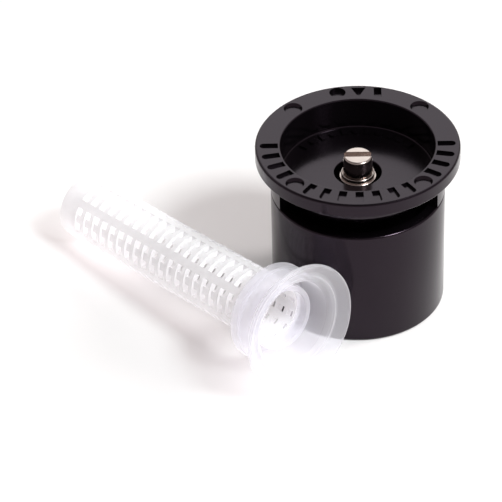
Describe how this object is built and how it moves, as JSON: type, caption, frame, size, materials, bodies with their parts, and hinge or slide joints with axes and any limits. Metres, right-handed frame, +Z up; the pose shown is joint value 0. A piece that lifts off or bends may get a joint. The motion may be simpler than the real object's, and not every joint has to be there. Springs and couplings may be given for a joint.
{
  "type": "pop up sprinkler nozzle with filter screen",
  "caption": "Half-circle spray nozzle for a pop-up sprinkler: black threaded skirt, flanged deflector top with a slotted adjusting screw, and its loose white basket filter screen.",
  "frame": {"origin": "centre of the riser thread's mouth, on the surface the nozzle stands on", "axes": "+Z up along the nozzle's axis, out of the pocket; -Y towards the middle of the spray arc; +X to the right seen from the spray side"},
  "size_m": [0.0451, 0.0355, 0.0201],
  "materials": {
    "black_plastic": "moulded, glossy",
    "stainless": "turned, bright",
    "screen_plastic": "translucent, natural polypropylene"
  },
  "bodies": {
    "nozzle": {"nozzle_base": "black_plastic", "orifice_plate": "black_plastic", "deflector_cap": "black_plastic"},
    "screw_lift": {"screw_collar": "stainless"},
    "screw": {"adjusting_screw": "stainless"},
    "filter": {"screen_mouth": "screen_plastic", "screen_seat": "screen_plastic", "screen_cage": "screen_plastic", "screen_end_cap": "screen_plastic"}
  },
  "joints": [
    {"name": "screw_travel", "type": "slide", "parent": "nozzle", "child": "screw_lift", "axis": [0, 0, 1], "range_m": [-0.0019, 0]},
    {"name": "screw_turn", "type": "hinge", "parent": "screw_lift", "child": "screw", "pos_m": [0, 0, 0.01622], "axis": [0, 0, 1], "range_deg": [-1080, 0]},
    {"name": "filter_lift", "type": "slide", "parent": "nozzle", "child": "filter", "axis": [-0.3994, -0.4993, 0.7689], "range_m": [0, 0.06]}
  ],
  "couplings": [
    {"joint": "screw_turn", "follows": "screw_travel", "rad_per_m": 9894.8}
  ]
}
